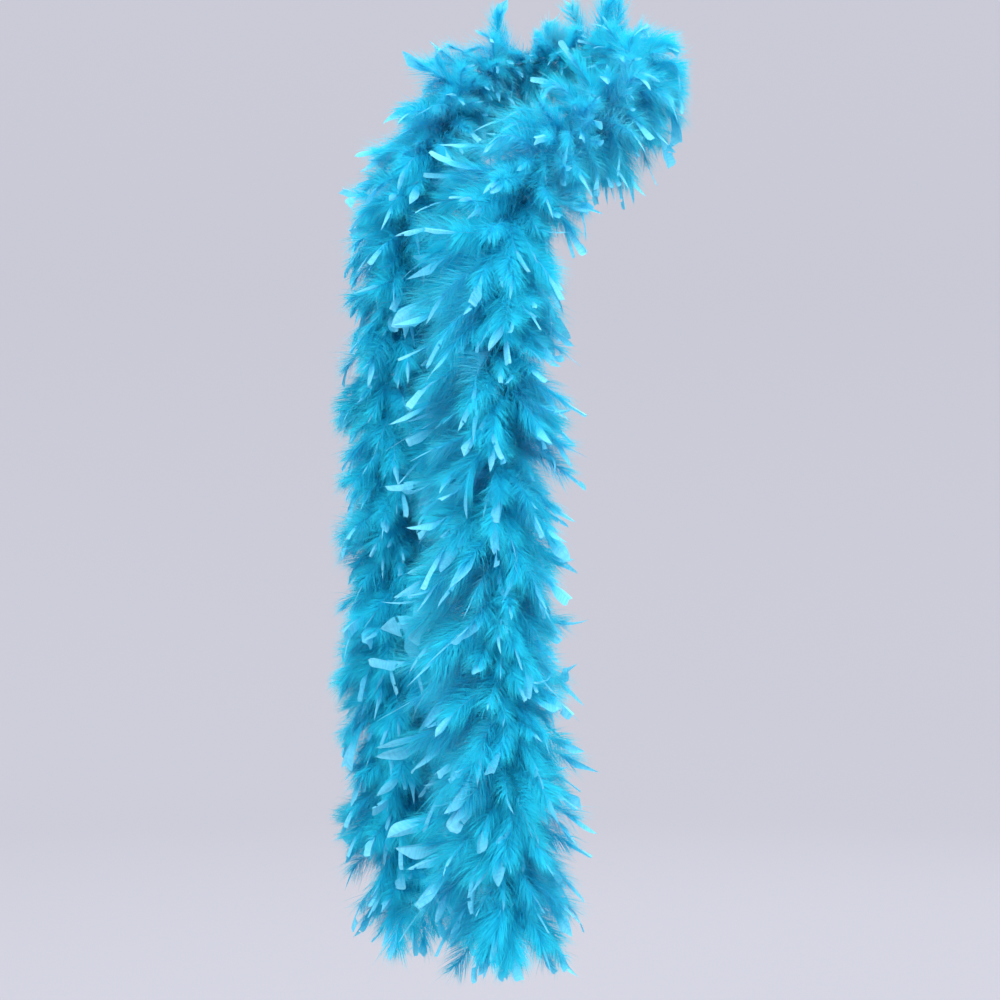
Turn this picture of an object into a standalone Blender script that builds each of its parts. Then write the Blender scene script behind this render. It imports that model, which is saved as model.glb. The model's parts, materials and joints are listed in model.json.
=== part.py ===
"""A long feather boa, worn once round the neck with both ends hanging in front.

Metres, +Z up. The origin is on the axis of the wearer's neck, at the height where the boa
rests on the shoulders. A thin core cord runs from the left end, behind the neck, across the
throat and down to the right end. The feathers are bound to it in turns, one bundle per turn.
The neck loop is the fixed body, and each hanging length is a chain of four short lengths that
bend on hinges set in the cord.
"""

import math

import bpy
import numpy as np
from mathutils import Matrix, Vector

# The core cord's route, from the left end over the nape to the right end.
ROUTE = (
    (-0.153, 0.015, -1.024),
    (-0.168, 0.013, -0.920),
    (-0.175, 0.011, -0.790),
    (-0.176, 0.010, -0.630),
    (-0.176, 0.009, -0.460),
    (-0.174, 0.009, -0.290),
    (-0.155, 0.017, -0.170),
    (-0.117, 0.043, -0.072),
    (-0.070, 0.105, 0.006),
    (0.006, 0.133, 0.034),
    (0.080, 0.103, 0.030),
    (0.115, 0.029, 0.000),
    (0.092, -0.055, -0.054),
    (0.026, -0.115, -0.108),
    (-0.030, -0.146, -0.184),
    (-0.045, -0.153, -0.290),
    (-0.046, -0.154, -0.460),
    (-0.046, -0.154, -0.630),
    (-0.044, -0.156, -0.790),
    (-0.037, -0.159, -0.920),
    (-0.038, -0.161, -1.024),
)
BEND_LEVELS = (-0.200, -0.410, -0.620, -0.830)  # heights of the hinges in each hang

CORD_DIAMETER = 0.004
CORD_POINT_STEP = 3 * CORD_DIAMETER
CORD_END_GAP = 0.0012  # half of the space between two lengths of cord at a hinge
TOUCH_GAP = 0.0003

BUNDLE_PITCH = 0.060  # length of cord that one turn of feathers covers
BUNDLE_RADIUS = 0.068
BUNDLE_DROOP = 0.040  # how far the tips of a turn hang below its quills
BUNDLE_FEATHERS = 5
HUB_RADIUS = 0.009  # the bound quills
HUB_HALF_LENGTH = 0.005
FEATHER_EDGE = 0.0012  # half the thickness of a feather at its outline
CORNER_ANGLE = math.radians(22)
CORNER_REACH = 0.86  # the feather's corners, as a share of its length
GOLDEN_ANGLE = math.radians(137.508)

NECK_LEVEL = -0.150  # above this the feathers are pressed short on the neck's side
NECK_PRESS = 0.45

END_TAPER = 0.16  # how much shorter the feathers get over the last length of a hang
TUFT_RADIUS = 0.040
TUFT_DROOP = 0.062
TUFT_BACK = 0.030  # from the end of the cord up to the last turn's quills

WHIPPING_BACK = 0.021  # from the end of the cord up to the top of the whipping
WHIPPING_LENGTH = 0.010
WHIPPING_RADIUS = 0.0034
WHIPPING_SIDES = 12

KNOT_RADIUS = 0.0052
KNOT_HALF_LENGTH = 0.0062
KNOT_SIDES = 12
KNOT_RINGS = 7

FEATHER_COLOUR = (0.045, 0.42, 0.68)
CORD_COLOUR = (0.03, 0.24, 0.42)
THREAD_COLOUR = (0.02, 0.19, 0.36)


def clear_scene():
    for obj in list(bpy.data.objects):
        bpy.data.objects.remove(obj, do_unlink=True)


def smooth_curve(points, per_span=48):
    """A fine polyline on the centripetal Catmull-Rom curve through the points."""
    knots = np.array(points)
    first, last = 2 * knots[0] - knots[1], 2 * knots[-1] - knots[-2]
    knots = np.vstack([first, knots, last])
    fine = []
    for p0, p1, p2, p3 in zip(knots, knots[1:], knots[2:], knots[3:]):
        t1 = np.linalg.norm(p1 - p0) ** 0.5
        t2 = t1 + np.linalg.norm(p2 - p1) ** 0.5
        t3 = t2 + np.linalg.norm(p3 - p2) ** 0.5
        for t in np.linspace(t1, t2, per_span, endpoint=False):
            a1 = p0 + (p1 - p0) * t / t1
            a2 = p1 + (p2 - p1) * (t - t1) / (t2 - t1)
            a3 = p2 + (p3 - p2) * (t - t2) / (t3 - t2)
            b1 = a1 + (a2 - a1) * t / t2
            b2 = a2 + (a3 - a2) * (t - t1) / (t3 - t1)
            fine.append(b1 + (b2 - b1) * (t - t1) / (t2 - t1))
    fine.append(knots[-2])
    return np.array(fine)


class Core:
    """The centre line of the boa, read by the distance along it."""

    def __init__(self, route):
        self.line = smooth_curve(route)
        steps = np.linalg.norm(np.diff(self.line, axis=0), axis=1)
        self.along = np.concatenate([[0.0], np.cumsum(steps)])
        self.length = float(self.along[-1])
        self.top = float(self.along[self.line[:, 2].argmax()])

    def at(self, distance):
        return Vector([float(np.interp(distance, self.along, c)) for c in self.line.T])

    def tangent(self, distance, reach=0.004):
        return (self.at(distance + reach) - self.at(distance - reach)).normalized()

    def up(self, distance):
        """The tangent, taken the way that leads up to the nape."""
        forward = self.tangent(distance)
        return forward if distance < self.top else -forward

    def crossing(self, level, left):
        """The distance at which one hang passes a height."""
        side = self.along < self.top if left else self.along >= self.top
        heights, along = self.line[side, 2], self.along[side]
        order = np.argsort(heights)
        return float(np.interp(level, heights[order], along[order]))


def principled(name, colour, roughness):
    material = bpy.data.materials.new(name)
    material.use_nodes = True
    shader = material.node_tree.nodes["Principled BSDF"]
    shader.inputs["Base Color"].default_value = (*colour, 1.0)
    shader.inputs["Roughness"].default_value = roughness
    shader.inputs["Metallic"].default_value = 0.0
    return material


def add_object(name, data, pivot, matrix, material):
    """Links an object below a pivot, with its place given in world coordinates."""
    data.materials.append(material)
    obj = bpy.data.objects.new(name, data)
    bpy.context.scene.collection.objects.link(obj)
    obj.parent = pivot
    obj.matrix_local = Matrix.Translation(-pivot_place(pivot)) @ matrix
    return obj


def pivot_place(pivot):
    place = Vector()
    while pivot:
        place += pivot.location
        pivot = pivot.parent
    return place


def add_pivot(name, place, parent=None):
    """An empty on a hinge's axis, or at the origin for the fixed neck loop."""
    pivot = bpy.data.objects.new(name, None)
    pivot.empty_display_size = 0.03
    bpy.context.scene.collection.objects.link(pivot)
    pivot.parent = parent
    pivot.location = place - (pivot_place(parent) if parent else Vector())
    return pivot


def frame_matrix(place, up, roll=0.0):
    """A frame at a place on the core: local +Z up along the cord, then rolled about it."""
    side = up.cross(Vector((0, 1, 0)))
    if side.length < 0.1:
        side = up.cross(Vector((1, 0, 0)))
    side.normalize()
    other = up.cross(side)
    turn = Matrix((side, other, up)).transposed().to_4x4()
    return Matrix.Translation(place) @ turn @ Matrix.Rotation(roll, 4, "Z")


def ring_stack(rings, closed_ends):
    """A mesh lofted through rings of equal count; it closes on itself, or on its end rings."""
    sides = len(rings[0])
    points = [tuple(p) for ring in rings for p in ring]
    faces = []
    last = len(rings) - 1 if closed_ends else len(rings)
    for r in range(last):
        low, high = r * sides, (r + 1) % len(rings) * sides
        for i in range(sides):
            j = (i + 1) % sides
            faces.append((low + i, low + j, high + j, high + i))
    if closed_ends:
        faces.append(tuple(range(sides))[::-1])
        faces.append(tuple(range(last * sides, (last + 1) * sides)))
    mesh = bpy.data.meshes.new("loft")
    mesh.from_pydata(points, [], faces)
    mesh.validate()
    return mesh


def circle(radius, height, sides):
    turns = [2 * math.pi * i / sides for i in range(sides)]
    return [(radius * math.cos(a), radius * math.sin(a), height) for a in turns]


def feather_outline(count):
    """The rosette's outline as (angle, share of its length, 0 at the quills to 1 at the tip)."""
    pitch = 2 * math.pi / count
    outline = []
    for k in range(count):
        middle = k * pitch
        outline += [
            (middle - CORNER_ANGLE, CORNER_REACH),
            (middle, 1.0),
            (middle + CORNER_ANGLE, CORNER_REACH),
            (middle + pitch / 2, 0.0),
        ]
    return outline


def rosette_mesh(radius, droop, place):
    """One turn of feathers: flat feathers fanned round bound quills, open for the cord."""
    bore = CORD_DIAMETER / 2 + 2 * TOUCH_GAP
    outline = feather_outline(BUNDLE_FEATHERS)
    world = place.to_3x3()
    to_neck = Vector((-place.translation.x, -place.translation.y, 0)).normalized()
    near_neck = place.translation.z > NECK_LEVEL
    rings = [[], [], [], []]
    for angle, share in outline:
        out = Vector((math.cos(angle), math.sin(angle), 0))
        facing = max(0.0, (world @ out).dot(to_neck)) if near_neck else 0.0
        reach = HUB_RADIUS + (radius - HUB_RADIUS) * share * (1 - NECK_PRESS * facing)
        hang = Vector((0, 0, -droop * (reach - HUB_RADIUS) / (radius - HUB_RADIUS)))
        edge = Vector((0, 0, FEATHER_EDGE))
        hub = Vector((0, 0, HUB_HALF_LENGTH))
        rings[0].append(out * bore - hub)
        rings[1].append(out * reach + hang - edge)
        rings[2].append(out * reach + hang + edge)
        rings[3].append(out * bore + hub)
    return ring_stack(rings, closed_ends=False)


def add_feathers(name, core, distance, index, pivot, radius=BUNDLE_RADIUS, droop=BUNDLE_DROOP):
    """One bundle, drooping the more the steeper the cord runs there."""
    up = core.up(distance)
    place = frame_matrix(core.at(distance), up, index * GOLDEN_ANGLE)
    mesh = rosette_mesh(radius, droop * max(0.0, up.z), place)
    tone = 1.0 + 0.10 * math.sin(2.4 * index)
    colour = [channel * tone for channel in FEATHER_COLOUR]
    add_object(name, mesh, pivot, place, principled(name, colour, 0.85))


def add_cord(name, core, start, end, pivot):
    """One length of the core cord, a tube on the centre line."""
    count = round(abs(end - start) / CORD_POINT_STEP)
    curve = bpy.data.curves.new(name, "CURVE")
    curve.dimensions = "3D"
    curve.bevel_depth = CORD_DIAMETER / 2
    curve.bevel_resolution = 2
    curve.use_fill_caps = True
    spline = curve.splines.new("POLY")
    spline.points.add(count)
    for i, point in enumerate(spline.points):
        point.co = (*core.at(start + (end - start) * i / count), 1.0)
    add_object(name, curve, pivot, Matrix(), principled(name, CORD_COLOUR, 0.8))


def add_whipping(name, core, distance, pivot):
    """The thread bound round the cord just above its end knot."""
    bore = CORD_DIAMETER / 2 + TOUCH_GAP
    half = WHIPPING_LENGTH / 2
    rings = [
        circle(bore, -half, WHIPPING_SIDES),
        circle(WHIPPING_RADIUS, -half, WHIPPING_SIDES),
        circle(WHIPPING_RADIUS, half, WHIPPING_SIDES),
        circle(bore, half, WHIPPING_SIDES),
    ]
    place = frame_matrix(core.at(distance), core.up(distance))
    mesh = ring_stack(rings, closed_ends=False)
    add_object(name, mesh, pivot, place, principled(name, THREAD_COLOUR, 0.6))


def add_knot(name, core, end, pivot):
    """The overhand knot in the end of the cord, as one rounded lump."""
    rings = []
    for r in range(KNOT_RINGS):
        lift = math.radians(-75 + 150 * r / (KNOT_RINGS - 1))
        rings.append(
            circle(KNOT_RADIUS * math.cos(lift), KNOT_HALF_LENGTH * math.sin(lift), KNOT_SIDES)
        )
    up = core.up(end)
    drop = KNOT_HALF_LENGTH + TOUCH_GAP
    place = frame_matrix(core.at(end) - up * drop, up)
    mesh = ring_stack(rings, closed_ends=True)
    add_object(name, mesh, pivot, place, principled(name, CORD_COLOUR, 0.8))


def add_length(core, name, start, end, pivot, index, taper=0.0):
    """The bundles on one length of the boa, numbered on from index; returns the next number."""
    count = round(abs(end - start) / BUNDLE_PITCH)
    for k in range(count):
        share = (k + 0.5) / count
        distance = start + (end - start) * share
        radius = BUNDLE_RADIUS * (1 - taper * share)
        add_feathers(f"{name}_feathers_{k + 1}", core, distance, index, pivot, radius)
        index += 1
    return index


def add_hang(core, side, neck, index):
    """One hanging length: four bodies in a chain, each on a hinge at its top."""
    left = side == "left"
    outward = -1 if left else 1
    tip = 0.0 if left else core.length
    bends = [core.crossing(level, left) for level in BEND_LEVELS]
    pivot = neck
    for number, (start, end) in enumerate(zip(bends, bends[1:] + [tip]), 1):
        name = f"{side}_hang_{number}"
        pivot = add_pivot(f"{name}_pivot", core.at(start), pivot)
        last = number == len(bends)
        feathers_end = end - outward * TUFT_BACK if last else end
        taper = END_TAPER if last else 0.0
        index = add_length(core, name, start, feathers_end, pivot, index, taper)
        cord = [start + outward * CORD_END_GAP, end - (0 if last else outward * CORD_END_GAP)]
        add_cord(f"core_cord_{name}", core, *cord, pivot)
    tuft = tip - outward * TUFT_BACK
    add_feathers(f"{side}_end_tuft", core, tuft, index, pivot, TUFT_RADIUS, TUFT_DROOP)
    whipping = tip - outward * (WHIPPING_BACK - WHIPPING_LENGTH / 2)
    add_whipping(f"{side}_end_whipping", core, whipping, pivot)
    add_knot(f"{side}_end_knot", core, tip, pivot)
    return index + 1


def main():
    clear_scene()
    core = Core(ROUTE)
    neck = add_pivot("neck_loop_pivot", Vector())
    start = core.crossing(BEND_LEVELS[0], left=True)
    end = core.crossing(BEND_LEVELS[0], left=False)
    add_cord("core_cord_neck_loop", core, start + CORD_END_GAP, end - CORD_END_GAP, neck)
    index = add_length(core, "neck_loop", start, end, neck, 0)
    index = add_hang(core, "left", neck, index)
    add_hang(core, "right", neck, index)


main()
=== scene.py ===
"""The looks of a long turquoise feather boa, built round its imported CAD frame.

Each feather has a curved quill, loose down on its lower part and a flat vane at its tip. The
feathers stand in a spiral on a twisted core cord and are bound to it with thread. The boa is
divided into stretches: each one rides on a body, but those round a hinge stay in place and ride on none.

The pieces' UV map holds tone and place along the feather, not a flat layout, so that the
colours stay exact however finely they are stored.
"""

import json
import math
from collections import namedtuple

import bpy
import numpy as np
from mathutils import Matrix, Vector

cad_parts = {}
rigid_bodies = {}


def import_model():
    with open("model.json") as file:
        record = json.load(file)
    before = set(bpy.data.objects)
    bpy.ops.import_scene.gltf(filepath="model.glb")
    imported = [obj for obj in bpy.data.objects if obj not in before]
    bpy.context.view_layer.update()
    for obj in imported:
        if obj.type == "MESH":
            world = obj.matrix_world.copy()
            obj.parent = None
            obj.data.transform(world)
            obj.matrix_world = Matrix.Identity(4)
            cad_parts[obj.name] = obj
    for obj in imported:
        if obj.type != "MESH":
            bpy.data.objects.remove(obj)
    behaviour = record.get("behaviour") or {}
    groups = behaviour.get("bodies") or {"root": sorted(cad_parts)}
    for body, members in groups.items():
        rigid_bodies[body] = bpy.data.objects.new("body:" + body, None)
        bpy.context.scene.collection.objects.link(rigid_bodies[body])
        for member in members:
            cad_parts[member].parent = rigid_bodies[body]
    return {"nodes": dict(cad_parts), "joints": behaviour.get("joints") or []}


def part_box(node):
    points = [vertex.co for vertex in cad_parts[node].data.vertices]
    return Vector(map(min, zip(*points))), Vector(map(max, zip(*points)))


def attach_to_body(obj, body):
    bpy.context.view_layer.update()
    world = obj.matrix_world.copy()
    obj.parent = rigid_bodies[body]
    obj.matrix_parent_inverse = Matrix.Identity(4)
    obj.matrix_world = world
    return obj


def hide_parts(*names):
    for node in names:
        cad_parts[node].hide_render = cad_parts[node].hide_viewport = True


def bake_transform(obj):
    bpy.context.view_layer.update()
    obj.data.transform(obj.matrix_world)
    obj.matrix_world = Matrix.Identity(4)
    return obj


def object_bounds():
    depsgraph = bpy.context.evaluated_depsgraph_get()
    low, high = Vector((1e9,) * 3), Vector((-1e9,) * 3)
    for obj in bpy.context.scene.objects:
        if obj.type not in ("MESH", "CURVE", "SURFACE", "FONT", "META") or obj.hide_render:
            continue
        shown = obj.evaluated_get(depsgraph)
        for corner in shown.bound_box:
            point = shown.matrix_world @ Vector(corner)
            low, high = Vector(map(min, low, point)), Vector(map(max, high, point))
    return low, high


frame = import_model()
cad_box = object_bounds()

# The core cord's route, from the left end over the nape to the right end.
ROUTE = (
    (-0.153, 0.015, -1.024),
    (-0.168, 0.013, -0.920),
    (-0.175, 0.011, -0.790),
    (-0.176, 0.010, -0.630),
    (-0.176, 0.009, -0.460),
    (-0.174, 0.009, -0.290),
    (-0.155, 0.017, -0.170),
    (-0.117, 0.043, -0.072),
    (-0.070, 0.105, 0.006),
    (0.006, 0.133, 0.034),
    (0.080, 0.103, 0.030),
    (0.115, 0.029, 0.000),
    (0.092, -0.055, -0.054),
    (0.026, -0.115, -0.108),
    (-0.030, -0.146, -0.184),
    (-0.045, -0.153, -0.290),
    (-0.046, -0.154, -0.460),
    (-0.046, -0.154, -0.630),
    (-0.044, -0.156, -0.790),
    (-0.037, -0.159, -0.920),
    (-0.038, -0.161, -1.024),
)

SEED = 11
DOWN_AXIS = np.array([0.0, 0.0, -1.0])
LEVEL_REFERENCE = np.array([0.31, 0.95, 0.05])  # never in line with the route
GOLDEN_ANGLE = math.radians(137.508)
# The export gives its own map this name. It bakes to this one instead and doesn't unwrap the
# piece, so a texture that is painted, or that depends on the place in space, needs a new map.
UV_NAME = "OFBake"

CORD_DIAMETER = 0.004
CORD_RING_STEP = 0.0015
CORD_SIDES = 24
CORD_TWIST = 0.012  # the length of one full turn of its three plies
PLY_DEPTH = 0.18
THREAD_RADIUS = 0.0003
THREAD_PITCH = 0.006
THREAD_SIDES = 5
TURN_POINTS = 16
WHIPPING_BACK = 0.021  # from the end of the cord up to the top of the whipping
WHIPPING_LENGTH = 0.010
WHIPPING_PITCH = 0.0009
WHIPPING_THREAD = 0.00045
KNOT_DROP = 0.0065  # from the end of the cord down to the middle of the knot
KNOT_SCALE = 0.0012
KNOT_TUBE = 0.0017
KNOT_POINTS = 120
TAIL_LENGTH = 0.010

FEATHERS_PER_METRE = 560
LONG_SHARE = 0.62
LONG_FEATHER = (0.098, 0.138)
SHORT_FEATHER = (0.066, 0.096)
QUILL_RADIUS = 0.00062
QUILL_TAPER = 0.75
BASE_REACH = (0.0016, 0.0024)  # from the cord's middle to where a quill starts
END_MARGIN = 0.004  # bare cord at each end
DROOP = (0.3, 1.5)
END_DROOP = 1.2  # added at the very ends, where the feathers hang as a tuft
TUFT_LENGTH = 0.07
SHAFT_POINTS = 13
LOCK_BARBS = 8
LONG_BARBS = 60 * LOCK_BARBS
SHORT_BARBS = 44 * LOCK_BARBS
UNDER_BARBS = 8 * LOCK_BARBS
BARB_POINTS = 3
BARB_WIDTH = 0.00045
UNDER_WIDTH = 0.0010
VANE_ROWS = 15
VANE_COLUMNS = 4
TONES = 8  # the number of tones that the vanes come in

NECK_LEVEL = -0.150
NECK_PIECES = 4
PROUD_SHARE = 0.03  # how far soft feathers stand past the CAD box: a share of each side
PROUD_MARGIN = 0.008  # and this much more
SHAFT_MARGIN = 0.016  # the quills stay this much further in
BLEND_REACH = 0.060

DOWN_COLOURS = (
    (0.0, (0.01, 0.68, 0.93)),
    (0.35, (0.02, 0.80, 0.98)),
    (0.75, (0.05, 0.88, 1.0)),
    (1.0, (0.09, 0.92, 1.0)),
)
DOWN_TONES = (
    (0.0, (0.70, 0.92, 0.97)),
    (0.5, (0.90, 0.98, 1.0)),
    (1.0, (1.3, 1.0, 1.0)),
)
VANE_COLOURS = (
    (0.0, (0.04, 0.64, 0.90)),
    (0.30, (0.10, 0.70, 0.93)),
    (0.70, (0.16, 0.74, 0.95)),
    (1.0, (0.21, 0.78, 0.96)),
)

Stretch = namedtuple("Stretch", "name low high bodies hinge")


def unit(vectors):
    return vectors / np.maximum(np.linalg.norm(vectors, axis=-1, keepdims=True), 1e-12)


def smooth_curve(points, per_span=48):
    """A fine polyline on the centripetal Catmull-Rom curve through the points."""
    knots = np.array(points)
    first, last = 2 * knots[0] - knots[1], 2 * knots[-1] - knots[-2]
    knots = np.vstack([first, knots, last])
    fine = []
    for p0, p1, p2, p3 in zip(knots, knots[1:], knots[2:], knots[3:]):
        t1 = np.linalg.norm(p1 - p0) ** 0.5
        t2 = t1 + np.linalg.norm(p2 - p1) ** 0.5
        t3 = t2 + np.linalg.norm(p3 - p2) ** 0.5
        for t in np.linspace(t1, t2, per_span, endpoint=False):
            a1 = p0 + (p1 - p0) * t / t1
            a2 = p1 + (p2 - p1) * (t - t1) / (t2 - t1)
            a3 = p2 + (p3 - p2) * (t - t2) / (t3 - t2)
            b1 = a1 + (a2 - a1) * t / t2
            b2 = a2 + (a3 - a2) * (t - t1) / (t3 - t1)
            fine.append(b1 + (b2 - b1) * (t - t1) / (t2 - t1))
    fine.append(knots[-2])
    return np.array(fine)


def kept_in(points, inset, softness):
    """Points that reach past the box are pressed back, the more the further out they are."""
    low, high = (np.array(corner) for corner in cad_box)
    room = (high - low) * PROUD_SHARE + PROUD_MARGIN - inset
    middle, half = (low + high) / 2, (high - low) / 2 + room
    offset = points - middle
    past = np.maximum(np.abs(offset) - (half - softness), 0)
    pressed = np.minimum(np.abs(offset), half - softness) + softness * (1 - np.exp(-past / softness))
    return middle + np.sign(offset) * pressed


class Core:
    """The centre line of the boa, read by the distance along it."""

    def __init__(self, route):
        self.line = smooth_curve(route)
        steps = np.linalg.norm(np.diff(self.line, axis=0), axis=1)
        self.along = np.concatenate([[0.0], np.cumsum(steps)])
        self.length = float(self.along[-1])
        self.top = float(self.along[self.line[:, 2].argmax()])

    def at(self, distances):
        distances = np.asarray(distances, float)
        return np.stack([np.interp(distances, self.along, c) for c in self.line.T], axis=-1)

    def up(self, distances, reach=0.004):
        """The tangent, taken the way that leads up to the nape."""
        distances = np.asarray(distances, float)
        forward = unit(self.at(distances + reach) - self.at(distances - reach))
        return forward * np.where(distances < self.top, 1.0, -1.0)[..., None]

    def nearest(self, point):
        """The distance along the core nearest to a point."""
        gaps = np.linalg.norm(self.line - np.array(point), axis=1)
        return float(self.along[gaps.argmin()])


class Plumage:
    """Every feather's shaft as points and frames, worked out together."""

    def __init__(self, core, rng):
        self.core = core
        bound = core.length - 2 * END_MARGIN
        count = round(bound * FEATHERS_PER_METRE)
        step = bound / count
        self.distance = END_MARGIN + (np.arange(count) + rng.uniform(0.1, 0.9, count)) * step
        self.count = count
        self.aim(rng)
        self.bend(rng)

    def aim(self, rng):
        n = self.count
        up = self.core.up(self.distance)
        level = unit(np.cross(up, LEVEL_REFERENCE))
        other = np.cross(up, level)
        turn = np.arange(n) * GOLDEN_ANGLE + rng.normal(0, 0.35, n)
        radial = level * np.cos(turn)[:, None] + other * np.sin(turn)[:, None]
        upright = np.clip(up[:, 2], 0, 1)
        towards = np.where(self.distance < self.core.top, 1.0, -1.0)
        inward = radial[:, 0] * towards * upright
        hang = upright * rng.uniform(0.05, 0.75, n) * (1 - 0.5 * np.clip(inward, 0, 1))
        lean = -up * hang[:, None]
        lean += up * ((1 - upright) * rng.normal(0, 0.35, n))[:, None]
        self.up, self.radial = up, radial
        self.start = unit(radial + lean)
        place = self.core.at(self.distance)
        to_neck = unit(-place * np.array([1.0, 1.0, 0.0]))
        near = np.clip((place[:, 2] - NECK_LEVEL) / 0.05, 0, 1)
        self.pressed = near * np.clip((radial * to_neck).sum(1), 0, 1)
        self.long = rng.random(n) < LONG_SHARE
        length = np.where(self.long, rng.uniform(*LONG_FEATHER, n), rng.uniform(*SHORT_FEATHER, n))
        length *= (1 - 0.45 * self.pressed) * (0.76 + 0.24 * upright)
        self.length = length * np.where(inward > 0, 1 + 0.20 * inward, 1 + 0.10 * inward)
        self.base = place + radial * rng.uniform(*BASE_REACH, n)[:, None]
        self.tone = np.clip(0.5 + rng.normal(0, 0.2, n), 0, 1)

    def bend(self, rng):
        """The shaft leaves the cord, droops under its weight and curls at random."""
        n = self.count
        t = np.linspace(0, 1, SHAFT_POINTS)
        to_end = np.minimum(self.distance, self.core.length - self.distance)
        droop = rng.uniform(*DROOP, n) + END_DROOP * np.clip(1 - to_end / TUFT_LENGTH, 0, 1)
        sway = unit(rng.normal(0, 1, (n, 3)))
        amount = np.abs(rng.normal(0, 0.38, n))
        flick = unit(rng.normal(0, 1, (n, 3))) * np.abs(rng.normal(0, 0.85, n))[:, None]
        way = self.start[:, None, :] + DOWN_AXIS * (droop[:, None] * t ** 1.2)[..., None]
        way = way + sway[:, None, :] * (amount[:, None] * t ** 1.7)[..., None]
        way = way + flick[:, None, :] * (np.clip((t - 0.42) / 0.58, 0, 1) ** 1.4)[:, None]
        way = unit(way)
        middle = unit(way[:, 1:] + way[:, :-1])
        steps = middle * (self.length / (SHAFT_POINTS - 1))[:, None, None]
        path = np.concatenate([np.zeros((n, 1, 3)), np.cumsum(steps, axis=1)], axis=1)
        self.path = kept_in(self.base[:, None, :] + path, SHAFT_MARGIN, 0.030)
        self.way = way
        roll = rng.normal(0, 0.55, n)
        across = unit(np.cross(self.radial, self.up))
        facing = self.radial + 0.55 * self.up
        facing = unit(facing) * np.cos(roll)[:, None] + across * np.sin(roll)[:, None]
        twist = rng.normal(0, 0.7, n)[:, None] * (t ** 2)
        across = unit(np.cross(way, facing[:, None, :]))
        lifted = np.cross(way, across)
        self.side = across * np.cos(twist)[..., None] + lifted * np.sin(twist)[..., None]
        self.face = np.cross(self.side, way)

    def read(self, array, rows, t):
        """Values of a per-shaft array at share t of the shafts in rows."""
        place = np.clip(t, 0, 1) * (SHAFT_POINTS - 1)
        low = np.minimum(place.astype(int), SHAFT_POINTS - 2)
        part = (place - low)[..., None]
        return array[rows, low] * (1 - part) + array[rows, low + 1] * part


def mesh_object(name, shape, material):
    """An object from (points, faces, uv, normals): faces has one index array for each corner count."""
    points, faces, uv, normals = shape
    sizes = np.concatenate([np.full(len(f), f.shape[1]) for f in faces])
    corners = np.concatenate([f.ravel() for f in faces]).astype(np.int32)
    starts = np.concatenate([[0], np.cumsum(sizes)[:-1]]).astype(np.int32)
    mesh = bpy.data.meshes.new(name)
    mesh.vertices.add(len(points))
    mesh.vertices.foreach_set("co", np.asarray(points, np.float32).ravel())
    mesh.loops.add(len(corners))
    mesh.loops.foreach_set("vertex_index", corners)
    mesh.polygons.add(len(sizes))
    mesh.polygons.foreach_set("loop_start", starts)
    layer = mesh.uv_layers.new(name=UV_NAME)
    layer.data.foreach_set("uv", np.asarray(uv, np.float32)[corners].ravel())
    mesh.polygons.foreach_set("use_smooth", np.ones(len(sizes), bool))
    mesh.update()
    mesh.validate()
    if normals is not None:
        layer = mesh.attributes.new("custom_normal", "FLOAT_VECTOR", "POINT")
        layer.data.foreach_set("vector", np.asarray(normals, np.float32).ravel())
    mesh.materials.append(material)
    obj = bpy.data.objects.new(name, mesh)
    bpy.context.scene.collection.objects.link(obj)
    return obj


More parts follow.
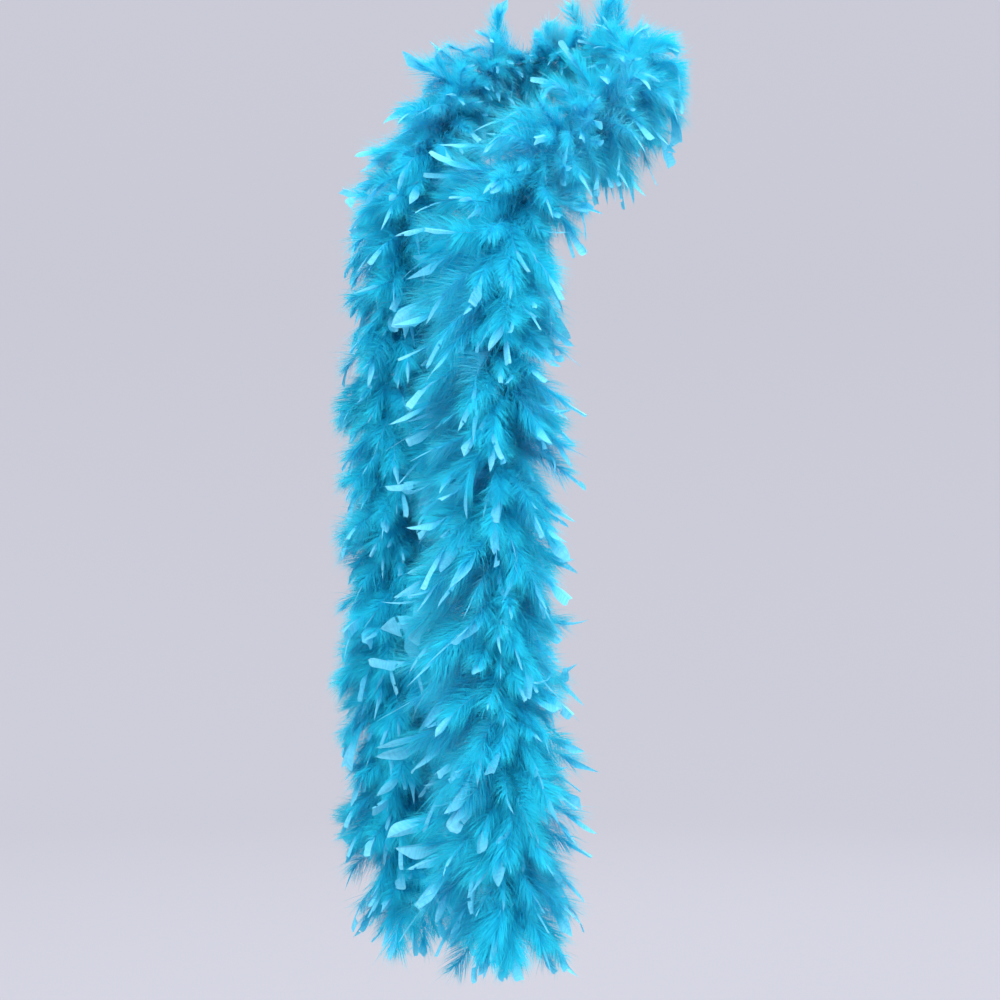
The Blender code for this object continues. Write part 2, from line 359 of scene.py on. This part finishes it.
def barbs_of(plumage, rows, rng, count, low, high, span, width, frizz):
    """Loose down along a share of the shaft: fine ribbons that flow forward from both sides.

    The barbs of one side keep together as a soft web with gathered locks; frizz sets how far
    each one strays."""
    n, b = len(rows), count
    locks = b // LOCK_BARBS
    lock = np.arange(b) // LOCK_BARBS
    half = b // 2
    share = (np.arange(b) % half + rng.uniform(0.1, 0.9, (n, b))) / half
    rank = (np.arange(b) % LOCK_BARBS) / (LOCK_BARBS - 1) - 0.5
    sign = np.where(np.arange(b) < half, 1.0, -1.0)[None, :]
    web = np.where(np.arange(b) < half, 0, 1)

    def by_web(values):
        return values[:, web]

    def by_lock(values):
        return values[:, lock]

    def ripple(size):
        """A slow wave along each web."""
        turns = by_web(rng.uniform(0.6, 1.7, (n, 2)))
        phase = by_web(rng.uniform(0, 2 * math.pi, (n, 2)))
        return size * np.sin(2 * math.pi * turns * share + phase)

    t = low + (high - low) * share
    r = np.repeat(rows[:, None], b, 1)
    start = plumage.read(plumage.path, r, t)
    way = unit(plumage.read(plumage.way, r, t))
    side = unit(plumage.read(plumage.side, r, t))
    face = unit(plumage.read(plumage.face, r, t))
    open_angle = by_web(rng.normal(60, 7, (n, 2))) + by_lock(rng.normal(0, 4, (n, locks)))
    open_angle = open_angle + rng.normal(0, 12 * frizz, (n, b))
    open_angle = np.radians(open_angle - 26 * share + 7 * rank)
    lift = by_web(rng.normal(-0.15, 0.45, (n, 2))) + by_lock(rng.normal(0, 0.10, (n, locks)))
    lift = lift + ripple(0.30) + rng.normal(0, 2.2 * frizz, (n, b))
    out = side * (sign * np.cos(lift))[..., None] + face * np.sin(lift)[..., None]
    first = way * np.cos(open_angle)[..., None] + out * np.sin(open_angle)[..., None]
    end_fade = np.clip((1.1 - share) / 0.3, 0.3, 1)
    length = (plumage.length[rows] * span)[:, None] * end_fade
    length = length * by_lock(rng.uniform(0.85, 1.12, (n, locks)))
    length = length * rng.uniform(1 - frizz, 1 + 0.5 * frizz, (n, b))
    bend = by_web(rng.uniform(0.5, 1.5, (n, 2))) + ripple(0.2)
    sag = by_web(rng.uniform(0.0, 0.5, (n, 2)))
    wave = by_web(rng.normal(0, 0.22, (n, 2, 3))) + rng.normal(0, 0.5 * frizz, (n, b, 3))
    k = np.stack([np.zeros((n, b)), rng.uniform(0.35, 0.62, (n, b)), np.ones((n, b))], axis=2)
    heading = first[:, :, None, :] + (way * bend[..., None])[:, :, None, :] * k[..., None]
    heading = heading + (DOWN_AXIS * sag[..., None])[:, :, None, :] * k[..., None]
    heading = unit(heading + wave[:, :, None, :] * k[..., None])
    middle = unit(heading[:, :, 1:] + heading[:, :, :-1])
    steps = middle * (length[..., None] * np.diff(k, axis=2))[..., None]
    path = np.concatenate([np.zeros((n, b, 1, 3)), np.cumsum(steps, axis=2)], axis=2)
    path = start[:, :, None, :] + path
    outward = plumage.radial[rows] + 0.35 * plumage.up[rows]
    soft = unit(outward[:, None, :] * 0.6 + face * 0.5 + 0.22 * rng.normal(0, 1, (n, b, 3)))
    flat = unit(face + 0.45 * rng.normal(0, 1, (n, b, 3)))
    flat = flat * -np.sign((flat * soft).sum(-1) + 1e-9)[..., None]
    across = unit(np.cross(heading, flat[:, :, None, :]))
    width = width * rng.uniform(0.7, 1.25, (n, b, 1)) * np.array([1.0, 0.75])
    left = path[:, :, :-1] + across[:, :, :-1] * width[..., None] / 2
    right = path[:, :, :-1] - across[:, :, :-1] * width[..., None] / 2
    pairs = np.stack([left, right], axis=3).reshape(n * b, 2 * (BARB_POINTS - 1), 3)
    points = np.concatenate([pairs, path[:, :, -1].reshape(n * b, 1, 3)], axis=1)
    per = points.shape[1]
    first_index = (np.arange(n * b) * per)[:, None]
    quads = np.concatenate(
        [first_index + 2 * j + np.array([0, 1, 3, 2]) for j in range(BARB_POINTS - 2)]
    )
    tris = first_index + 2 * (BARB_POINTS - 2) + np.array([0, 1, 2])
    tone = plumage.tone[rows][:, None] + by_lock(rng.normal(0, 0.07, (n, locks)))
    tone = np.clip(tone + rng.normal(0, 0.05, (n, b)), 0.02, 0.98)
    u = np.repeat(tone.reshape(-1, 1), per, 1)
    reach = (t * 0.55)[..., None] + 0.45 * k * np.clip(0.4 + t, 0, 1)[..., None]
    reach = reach.reshape(n * b, BARB_POINTS)
    v = np.concatenate([np.repeat(reach[:, :-1], 2, axis=1), reach[:, -1:]], axis=1)
    uv = np.stack([u, np.clip(v, 0.02, 0.98)], axis=-1)
    normals = np.repeat(soft.reshape(n * b, 1, 3), per, axis=1)
    return points.reshape(-1, 3), [quads, tris], uv.reshape(-1, 2), normals.reshape(-1, 3)


def vanes_of(plumage, rows, rng):
    """The flat tips: two webs on each shaft, with leaf, blunt, slanted or pointed ends.

    Some webs are torn: the barbs past the tear stand away from those before it."""
    n = len(rows)
    m, c = VANE_ROWS, VANE_COLUMNS
    x = np.linspace(0, 1, m)
    begin = rng.uniform(0.46, 0.64, n)
    t = begin[:, None] + (0.99 - begin)[:, None] * x
    r = np.repeat(rows[:, None], m, 1)
    centre = plumage.read(plumage.path, r, t)
    way = unit(plumage.read(plumage.way, r, t))
    side = unit(plumage.read(plumage.side, r, t))
    face = unit(plumage.read(plumage.face, r, t))
    kind = rng.random(n)[:, None]
    leaf = np.sin(np.pi * (0.06 + 0.94 * x) ** 1.2) ** 0.85
    blunt = np.clip(x / 0.5, 0, 1) ** 0.8 * np.clip((1.06 - x) / 0.10, 0, 1) ** 0.5
    narrow_end = np.clip(x / 0.35, 0, 1) ** 0.8 * np.clip((1 - x) / 0.7, 0, 1) ** 0.75
    shape = np.where(kind < 0.38, leaf, np.where(kind < 0.72, blunt, narrow_end))
    half = plumage.length[rows] * rng.choice([0.030, 0.050, 0.075], n) * rng.uniform(0.8, 1.2, n)
    fold = rng.uniform(-0.1, 0.7, n)
    curl = rng.normal(0, 0.35, n)
    part = np.linspace(0, 1, c)
    points, quads, coords = [], [], []
    for web, sign in enumerate((1.0, -1.0)):
        thin = np.where(rng.random(n) < 0.40, rng.uniform(0.2, 0.6, n), 1.0)
        wave = 1 + 0.10 * np.sin(x * rng.uniform(4, 14, (n, 1)) + rng.uniform(0, 6, (n, 1)))
        wide = (half * thin)[:, None] * shape * wave
        slant = rng.uniform(0.35, 1.0, n)[:, None] * (1 - 0.8 * x ** 2 * (kind < 0.6))
        torn_at = rng.uniform(0.35, 0.85, (n, 1))
        torn = (rng.random((n, 1)) < 0.33) & (x > torn_at)
        slant = slant + np.where(torn, rng.uniform(-0.55, -0.15, (n, 1)), 0)
        wide = wide * np.where(torn, rng.uniform(0.75, 1.05, (n, 1)), 1)
        lift = np.where(torn, rng.normal(0, 0.5, (n, 1)), 0) - fold[:, None]
        lean = side * (sign * np.cos(lift))[..., None] + face * np.sin(lift)[..., None]
        reach = wide[..., None] * part
        grid = centre[:, :, None, :] + lean[:, :, None, :] * reach[..., None]
        grid = grid + way[:, :, None, :] * (reach * slant[..., None])[..., None]
        sink = reach * part * 0.28 + reach * (curl[:, None] * x * sign)[..., None]
        grid = grid - face[:, :, None, :] * sink[..., None]
        points.append(grid.reshape(-1, 3))
        first = web * n * m * c + np.arange(n) * (m * c)
        for j in range(m - 1):
            whole = torn[:, j] == torn[:, j + 1]
            for i in range(c - 1):
                a = first[whole | (i == 0)] + j * c + i
                quad = np.stack([a, a + 1, a + c + 1, a + c], axis=1)
                quads.append(quad if sign > 0 else quad[:, ::-1])
        bucket = np.floor(plumage.tone[rows] * (TONES - 0.001))
        u = (bucket[:, None, None] + 0.04 + 0.92 * x[None, :, None]) / TONES + 0 * part
        v = 0.04 + 0.92 * part[None, None, :] + 0 * u
        coords.append(np.stack([u, v], axis=-1).reshape(-1, 2))
    return np.concatenate(points), [np.concatenate(quads)], np.concatenate(coords), None


def shafts_of(plumage, rows):
    """The quills, as three-sided tapering tubes."""
    n, m = len(rows), SHAFT_POINTS
    x = np.linspace(0, 1, m)
    radius = QUILL_RADIUS * (1 - QUILL_TAPER * x)
    angles = np.arange(3) * 2 * math.pi / 3
    path, side, face = plumage.path[rows], plumage.side[rows], plumage.face[rows]
    ring = side[:, :, None] * np.cos(angles)[:, None] + face[:, :, None] * np.sin(angles)[:, None]
    points = path[:, :, None] + ring * radius[None, :, None, None]
    first = np.arange(n)[:, None] * (m * 3)
    quads = []
    for j in range(m - 1):
        for i in range(3):
            here, after = j * 3, j * 3 + 3
            k = (i + 1) % 3
            quads.append(first + np.array([here + i, here + k, after + k, after + i]))
    bucket = np.floor(plumage.tone[rows] * (TONES - 0.001))
    u = (bucket[:, None, None] + 0.04 + 0.92 * x[None, :, None]) / TONES + np.zeros(3)
    uv = np.stack([u, 0.02 + 0 * u], axis=-1).reshape(-1, 2)
    return points.reshape(-1, 3), [np.concatenate(quads)], uv, None


def joined(parts):
    """Several (points, faces, uv, normals) shapes as one."""
    faces = {}
    offset = 0
    for points, part_faces, _, _ in parts:
        for group in part_faces:
            faces.setdefault(group.shape[1], []).append(group + offset)
        offset += len(points)
    points, coords = (np.concatenate([part[i] for part in parts]) for i in (0, 2))
    soft = parts[0][3] is not None
    normals = np.concatenate([part[3] for part in parts]) if soft else None
    return points, [np.concatenate(group) for group in faces.values()], coords, normals


def pressed_in(parts):
    """The parts as one shape, kept within the room that soft feathers may take."""
    points, faces, uv, normals = joined(parts)
    return kept_in(points, 0.0, 0.014), faces, uv, normals


def tube(line, reference, radius):
    """A tube on a line, with a row of radii for each ring; U runs round and back, V along it."""
    rings, sides = radius.shape
    along = unit(np.gradient(line, axis=0))
    level = unit(np.cross(along, reference))
    other = np.cross(along, level)
    angles = np.arange(sides) * 2 * math.pi / sides
    out = level[:, None] * np.cos(angles)[:, None] + other[:, None] * np.sin(angles)[:, None]
    points = line[:, None] + out * radius[..., None]
    here = np.arange(rings - 1)[:, None] * sides + np.arange(sides)
    after = np.arange(rings - 1)[:, None] * sides + np.roll(np.arange(sides), -1)
    quads = np.stack([here, after, after + sides, here + sides], axis=-1).reshape(-1, 4)
    start = np.arange(sides)[None, ::-1]
    caps = np.concatenate([start, start[:, ::-1] + (rings - 1) * sides])
    u = 1 - np.abs(angles / math.pi - 1) + np.zeros((rings, 1))
    v = np.linspace(0.02, 0.98, rings)[:, None] + np.zeros(sides)
    uv = np.stack([0.02 + 0.96 * u, v], axis=-1).reshape(-1, 2)
    return points.reshape(-1, 3), [quads, caps], uv, None


def plied(rings, sides, radius, step):
    """The radii of a rope of three plies, a row for each ring."""
    angles = np.arange(sides) * 2 * math.pi / sides
    turned = angles - (np.arange(rings) * step * 2 * math.pi / CORD_TWIST)[:, None]
    return radius * (1 - PLY_DEPTH + PLY_DEPTH * np.abs(np.cos(1.5 * turned)))


def helix(core, low, high, radius, pitch):
    """A thread's line round the cord, and the cord's direction at each of its points."""
    count = round((high - low) / pitch * TURN_POINTS) + 1
    distance = np.linspace(low, high, count)
    up = core.up(distance)
    level = unit(np.cross(up, LEVEL_REFERENCE))
    turn = (np.arange(count) * 2 * math.pi / TURN_POINTS)[:, None]
    out = level * np.cos(turn) + np.cross(up, level) * np.sin(turn)
    return core.at(distance) + out * radius, up


class Nodes:
    """A material with short forms for building its node tree."""

    def __init__(self, name):
        self.material = bpy.data.materials.new(name)
        self.material.use_nodes = True
        self.tree = self.material.node_tree
        self.shader = self.tree.nodes["Principled BSDF"]
        self.output = self.tree.nodes["Material Output"]

    def add(self, kind, **values):
        node = self.tree.nodes.new(kind)
        for key, value in values.items():
            setattr(node, key, value)
        return node

    def link(self, source, target):
        self.tree.links.new(source, target)

    def ramp(self, source, stops):
        node = self.add("ShaderNodeValToRGB")
        elements = node.color_ramp.elements
        while len(elements) < len(stops):
            elements.new(0.5)
        for element, (place, colour) in zip(elements, stops):
            element.position = place
            element.color = (*colour, 1.0)
        self.link(source, node.inputs["Fac"])
        return node.outputs["Color"]

    def see_through(self, share, colour_source):
        """Lets a fixed share of the light through, as thin keratin does."""
        glow = self.add("ShaderNodeBsdfTranslucent")
        mix = self.add("ShaderNodeMixShader")
        mix.inputs["Fac"].default_value = share
        self.link(colour_source, glow.inputs["Color"])
        self.link(self.shader.outputs["BSDF"], mix.inputs[1])
        self.link(glow.outputs["BSDF"], mix.inputs[2])
        self.link(mix.outputs["Shader"], self.output.inputs["Surface"])

    def uv_parts(self):
        """The U and V of the piece's own map."""
        uv = self.add("ShaderNodeUVMap", uv_map=UV_NAME)
        split = self.add("ShaderNodeSeparateXYZ")
        self.link(uv.outputs["UV"], split.inputs["Vector"])
        return split.outputs["X"], split.outputs["Y"]

    def math(self, operation, source, value=0.0):
        node = self.add("ShaderNodeMath", operation=operation)
        node.inputs[1].default_value = value
        self.link(source, node.inputs[0])
        return node.outputs[0]

    def noise(self, x, y, z=None):
        """Noise at the point (x, y, z), each a socket."""
        place = self.add("ShaderNodeCombineXYZ")
        for source, name in ((x, "X"), (y, "Y"), (z, "Z")):
            if source is not None:
                self.link(source, place.inputs[name])
        node = self.add("ShaderNodeTexNoise", noise_dimensions="3D")
        node.inputs["Scale"].default_value = 1.0
        node.inputs["Detail"].default_value = 3.0
        self.link(place.outputs["Vector"], node.inputs["Vector"])
        return node.outputs["Fac"]

    def times(self, first, second):
        mix = self.add("ShaderNodeMix", data_type="RGBA", blend_type="MULTIPLY")
        mix.inputs["Factor"].default_value = 1.0
        self.link(first, mix.inputs["A"])
        self.link(second, mix.inputs["B"])
        return mix.outputs["Result"]

    def surface(self, height, low, high, strength, distance):
        """Roughness from low to high and a bump, both from one height."""
        spread = self.add("ShaderNodeMapRange")
        spread.inputs["To Min"].default_value = low
        spread.inputs["To Max"].default_value = high
        self.link(height, spread.inputs["Value"])
        self.link(spread.outputs["Result"], self.shader.inputs["Roughness"])
        bump = self.add("ShaderNodeBump")
        bump.inputs["Strength"].default_value = strength
        bump.inputs["Distance"].default_value = distance
        self.link(height, bump.inputs["Height"])
        self.link(bump.outputs["Normal"], self.shader.inputs["Normal"])


def down_material():
    """Loose barbs: paler towards their tips, and each tuft of them a little lighter or darker."""
    m = Nodes("boa_down")
    u, v = m.uv_parts()
    along = m.ramp(v, DOWN_COLOURS)
    tone = m.ramp(u, DOWN_TONES)
    colour = m.times(along, tone)
    m.link(colour, m.shader.inputs["Base Color"])
    m.shader.inputs["Specular IOR Level"].default_value = 0.25
    m.shader.inputs["Sheen Weight"].default_value = 0.25
    m.shader.inputs["Sheen Roughness"].default_value = 0.4
    m.surface(m.noise(m.math("MULTIPLY", u, 40.0), m.math("MULTIPLY", v, 25.0)), 0.65, 0.85, 0.2, 0.0002)
    m.see_through(0.48, colour)
    return m.material


def vane_material():
    """Flat webs with streaks that run with their barbs."""
    m = Nodes("boa_vane")
    u, v = m.uv_parts()
    scaled = m.math("MULTIPLY", u, float(TONES))
    bucket = m.math("FLOOR", scaled)
    along = m.math("FRACT", scaled)
    streaks = m.noise(m.math("MULTIPLY", along, 26.0), v, bucket)
    lines = m.ramp(streaks, [(0.35, (0.80, 0.90, 0.94)), (0.65, (1.25, 1.06, 1.02))])
    colour = m.times(m.ramp(along, VANE_COLOURS), lines)
    m.link(colour, m.shader.inputs["Base Color"])
    m.shader.inputs["Specular IOR Level"].default_value = 0.4
    m.surface(streaks, 0.40, 0.62, 0.35, 0.0003)
    m.see_through(0.35, colour)
    return m.material


def fibre_material(name, dark, light, grain, roughness):
    """Dyed cotton, as cord or thread: fine grain along the fibres."""
    m = Nodes(name)
    u, v = m.uv_parts()
    fibres = m.noise(m.math("MULTIPLY", u, 9.0), m.math("MULTIPLY", v, grain))
    m.link(m.ramp(fibres, [(0.3, dark), (0.7, light)]), m.shader.inputs["Base Color"])
    m.shader.inputs["Specular IOR Level"].default_value = 0.3
    m.surface(fibres, roughness - 0.1, roughness + 0.1, 0.5, 0.0002)
    return m.material


def make_camera():
    """A long lens level with the middle of the boa."""
    data = bpy.data.cameras.new("camera")
    data.lens = 90
    camera = bpy.data.objects.new("camera", data)
    camera.location = (-0.048, -3.07, -0.528)
    camera.rotation_euler = (math.radians(90), 0, 0)
    bpy.context.scene.collection.objects.link(camera)
    bpy.context.scene.camera = camera


def make_stage():
    """A round pale cove: a floor that curves up into a wall on all sides."""
    floor_level, radius, cove = -1.42, 5.5, 1.6
    profile = [(0.001, floor_level), (radius - cove, floor_level)]
    for i in range(1, 13):
        a = math.radians(90 * i / 12)
        profile.append((radius - cove + cove * math.sin(a), floor_level + cove * (1 - math.cos(a))))
    profile.append((radius, floor_level + 5.0))
    sides = 64
    angles = np.arange(sides) * 2 * math.pi / sides
    points = [(r * math.cos(a), r * math.sin(a), z) for r, z in profile for a in angles]
    faces = []
    for j in range(len(profile) - 1):
        for i in range(sides):
            k = (i + 1) % sides
            faces.append((j * sides + i, j * sides + k, (j + 1) * sides + k, (j + 1) * sides + i))
    mesh = bpy.data.meshes.new("cove")
    mesh.from_pydata(points, [], faces)
    mesh.shade_smooth()
    material = bpy.data.materials.new("cove")
    material.use_nodes = True
    shader = material.node_tree.nodes["Principled BSDF"]
    shader.inputs["Base Color"].default_value = (0.15, 0.15, 0.165, 1)
    shader.inputs["Roughness"].default_value = 1.0
    shader.inputs["Specular IOR Level"].default_value = 0.0
    shader.inputs["Emission Color"].default_value = (0.63, 0.63, 0.716, 1)
    shader.inputs["Emission Strength"].default_value = 0.67
    material.cycles.emission_sampling = "NONE"
    mesh.materials.append(material)
    cove = bpy.data.objects.new("cove", mesh)
    bpy.context.scene.collection.objects.link(cove)


def make_light(name, place, aim, size, power):
    data = bpy.data.lights.new(name, "AREA")
    data.shape = "SQUARE"
    data.size = size
    data.energy = power
    light = bpy.data.objects.new(name, data)
    light.location = place
    light.rotation_euler = (Vector(aim) - Vector(place)).to_track_quat("-Z", "Y").to_euler()
    bpy.context.scene.collection.objects.link(light)


def make_lights():
    """An even pale surround, a key from the left, a fill from the right and a back light."""
    world = bpy.data.worlds.new("world")
    world.use_nodes = True
    world.node_tree.nodes["Background"].inputs["Color"].default_value = (0.95, 0.97, 1.0, 1)
    world.node_tree.nodes["Background"].inputs["Strength"].default_value = 1.85
    bpy.context.scene.world = world
    centre = (-0.05, 0.0, -0.5)
    make_light("key", (-1.6, -2.6, 1.3), centre, 2.0, 80)
    make_light("fill", (2.2, -2.2, 0.4), centre, 2.0, 55)
    make_light("back", (1.2, 2.6, 1.4), centre, 2.0, 40)


def side_stretches(side, hinges, tip):
    """One hanging side's stretches, from the neck to the tip; each hinge is in the middle of one."""
    places = [place for place, _, _ in hinges]
    half = (places[1] - places[0]) / 2
    edges = [(a + b) / 2 for a, b in zip(places, places[1:])]
    edges = [places[0] - half] + edges + [places[-1] + half]
    found = []
    for number, ((place, parent, child), a, b) in enumerate(zip(hinges, edges, edges[1:]), 1):
        found.append(Stretch(f"{side}_bend_{number}", min(a, b), max(a, b), (parent, child), place))
    last = (min(edges[-1], tip), max(edges[-1], tip))
    found.append(Stretch(f"{side}_end", *last, (hinges[-1][2],), None))
    return found


def stretches_of(core):
    """The whole boa as stretches."""
    joints = sorted((core.nearest(j["pos_m"]), j["parent"], j["child"]) for j in frame["joints"])
    left = side_stretches("left", [j for j in joints if j[0] < core.top][::-1], 0.0)
    right = side_stretches("right", [j for j in joints if j[0] > core.top], core.length)
    edges = np.linspace(left[0].high, right[0].low, NECK_PIECES + 1)
    neck = [
        Stretch(f"neck_{i + 1}", float(a), float(b), ("neck_loop",), None)
        for i, (a, b) in enumerate(zip(edges, edges[1:]))
    ]
    return left + neck + right


def attach(obj, core, stretch):
    """The piece rides on its stretch's body; a piece whose stretch holds a hinge stays in place and rides
    on neither.
    """
    if stretch.hinge is None:
        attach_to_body(obj, stretch.bodies[0])
        return
    reach = core.up(stretch.hinge) * BLEND_REACH
    place = core.at(stretch.hinge)
    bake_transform(obj)


def cord_line(core, stretch):
    """The stretch's part of the cord, as evenly spaced points."""
    count = math.ceil((stretch.high - stretch.low) / CORD_RING_STEP) + 1
    return core.at(np.linspace(stretch.low, stretch.high, count))


def make_end(core, side, tip, cotton, thread):
    """The whipping and the overhand knot on one end of the cord."""
    outward = -1 if tip == 0.0 else 1
    top = tip - outward * WHIPPING_BACK
    radius = CORD_DIAMETER / 2 + WHIPPING_THREAD
    line, up = helix(core, *sorted((top, top + outward * WHIPPING_LENGTH)), radius, WHIPPING_PITCH)
    shape = tube(line, up, np.full((len(line), THREAD_SIDES), WHIPPING_THREAD))
    whipping = mesh_object(f"{side}_whipping", shape, thread)
    up = core.up(tip)
    level = unit(np.cross(up, LEVEL_REFERENCE))
    middle = core.at(tip) - up * KNOT_DROP
    t = np.linspace(0, 2 * math.pi, KNOT_POINTS)[:, None]
    flat = level * (np.sin(t) + 2 * np.sin(2 * t)) + np.cross(up, level) * (np.cos(t) - 2 * np.cos(2 * t))
    loop = middle + KNOT_SCALE * (flat - 3 * up * np.sin(3 * t))
    end = middle - up * np.linspace(0, TAIL_LENGTH, 12)[:, None]
    step = TAIL_LENGTH / 12
    parts = [
        tube(line, reference, plied(len(line), CORD_SIDES // 2, KNOT_TUBE, step))
        for line, reference in ((loop, up), (end, level))
    ]
    knot = mesh_object(f"{side}_knot", joined(parts), cotton)
    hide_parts(f"{side}_end_whipping")
    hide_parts(f"{side}_end_knot")
    for piece in (whipping, knot):
        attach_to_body(piece, f"{side}_hang_4")
    return [whipping, knot]


def make_cords(core, stretches):
    """The twisted core cord and the thread that binds the quills to it, stretch by stretch."""
    cotton = fibre_material("boa_cord", (0.01, 0.30, 0.42), (0.04, 0.48, 0.62), 400.0, 0.8)
    thread = fibre_material("boa_thread", (0.01, 0.24, 0.36), (0.03, 0.40, 0.54), 900.0, 0.6)
    stood_for = set()
    for stretch in stretches:
        line = cord_line(core, stretch)
        plies = plied(len(line), CORD_SIDES, CORD_DIAMETER / 2, CORD_RING_STEP)
        shape = tube(line, LEVEL_REFERENCE + np.zeros_like(line), plies)
        cord = mesh_object(f"{stretch.name}_cord", shape, cotton)
        inset = THREAD_PITCH / 2
        spiral = (stretch.low + inset, stretch.high - inset)
        turns, up = helix(core, *spiral, CORD_DIAMETER / 2 + THREAD_RADIUS, THREAD_PITCH)
        shape = tube(turns, up, np.full((len(turns), THREAD_SIDES), THREAD_RADIUS))
        binding = mesh_object(f"{stretch.name}_thread", shape, thread)
        for piece in (cord, binding):
            attach(piece, core, stretch)
        node = f"core_cord_{stretch.bodies[-1]}"
        if node not in stood_for:
            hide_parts(node)
            stood_for.add(node)
        with_pieces = [binding]
        ending = stretch.name.endswith("_end")
        if ending:
            side = stretch.name.split("_")[0]
            tip = 0.0 if side == "left" else core.length
            with_pieces += make_end(core, side, tip, cotton, thread)


def make_feathers(core, stretches):
    """The down, and the vanes with their quills, stretch by stretch."""
    rng = np.random.default_rng(SEED)
    plumage = Plumage(core, rng)
    down, vane = down_material(), vane_material()
    nodes = {}
    for name in frame["nodes"]:
        if "feathers" in name or "tuft" in name:
            nodes[name] = core.nearest(np.mean(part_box(name), axis=0))
    for stretch in stretches:
        rows = np.nonzero((plumage.distance >= stretch.low) & (plumage.distance < stretch.high))[0]
        long, short = rows[plumage.long[rows]], rows[~plumage.long[rows]]
        downs = [
            barbs_of(plumage, long, rng, LONG_BARBS, 0.10, 0.70, 0.34, BARB_WIDTH, 0.30),
            barbs_of(plumage, short, rng, SHORT_BARBS, 0.08, 0.80, 0.38, BARB_WIDTH, 0.40),
            barbs_of(plumage, rows, rng, UNDER_BARBS, 0.0, 0.25, 0.30, UNDER_WIDTH, 0.9),
        ]
        tips = [vanes_of(plumage, rows, rng), shafts_of(plumage, rows)]
        loose = mesh_object(f"{stretch.name}_down", pressed_in(downs), down)
        flat = mesh_object(f"{stretch.name}_tips", pressed_in(tips), vane)
        for piece in (loose, flat):
            attach(piece, core, stretch)
        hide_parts(*(n for n, at in nodes.items() if stretch.low <= at <= stretch.high))


def main():
    bpy.context.scene.view_settings.view_transform = "Standard"
    make_camera()
    core = Core(ROUTE)
    stretches = stretches_of(core)
    make_cords(core, stretches)
    make_stage()
    make_lights()
    make_feathers(core, stretches)


main()
